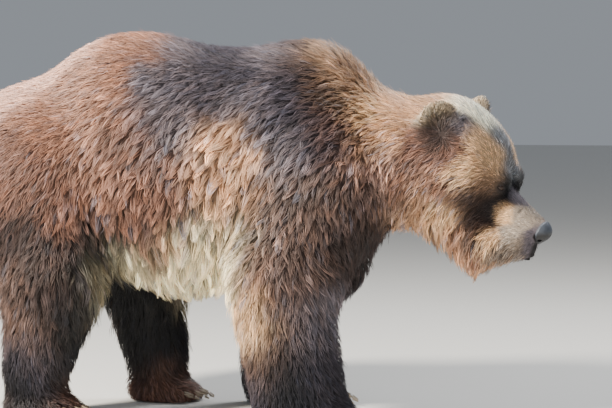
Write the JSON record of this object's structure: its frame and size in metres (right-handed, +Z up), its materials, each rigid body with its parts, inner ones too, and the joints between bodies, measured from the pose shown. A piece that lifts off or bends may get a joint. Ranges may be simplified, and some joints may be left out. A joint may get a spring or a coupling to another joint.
{
  "type": "brown bear",
  "caption": "Life-size still model of an adult brown bear walking, head lowered and turned a little to its right, in a long shaggy coat.",
  "frame": {"origin": "on the floor, under the middle of the bear's bounding box", "axes": "+X towards the head, +Y towards the bear's left side, +Z up"},
  "size_m": [1.9062, 0.6732, 1.1688],
  "materials": {
    "coat": "long shaggy fur, reddish brown to golden, with dark legs and a pale fringe under the belly",
    "nose": "bare dark grey skin, finely pebbled and slightly moist",
    "eyes": "dark brown, wet and glossy",
    "claws": "horn, dark at the root and paler at the tip"
  },
  "bodies": {
    "root": {"trunk": "coat", "neck": "coat", "tail": "coat", "foreleg_right": "coat", "forepaw_right": "coat", "hind_leg_right": "coat", "hind_paw_right": "coat", "claw_fore_right_1": "claws", "claw_fore_right_2": "claws", "claw_fore_right_3": "claws", "claw_fore_right_4": "claws", "claw_fore_right_5": "claws", "claw_hind_right_1": "claws", "claw_hind_right_2": "claws", "claw_hind_right_3": "claws", "claw_hind_right_4": "claws", "claw_hind_right_5": "claws", "foreleg_left": "coat", "forepaw_left": "coat", "hind_leg_left": "coat", "hind_paw_left": "coat", "claw_fore_left_1": "claws", "claw_fore_left_2": "claws", "claw_fore_left_3": "claws", "claw_fore_left_4": "claws", "claw_fore_left_5": "claws", "claw_hind_left_1": "claws", "claw_hind_left_2": "claws", "claw_hind_left_3": "claws", "claw_hind_left_4": "claws", "claw_hind_left_5": "claws", "head": "coat", "lower_jaw": "coat", "nose": "nose", "ear_right": "coat", "eye_right": "eyes", "ear_left": "coat", "eye_left": "eyes"}
  },
  "joints": []
}
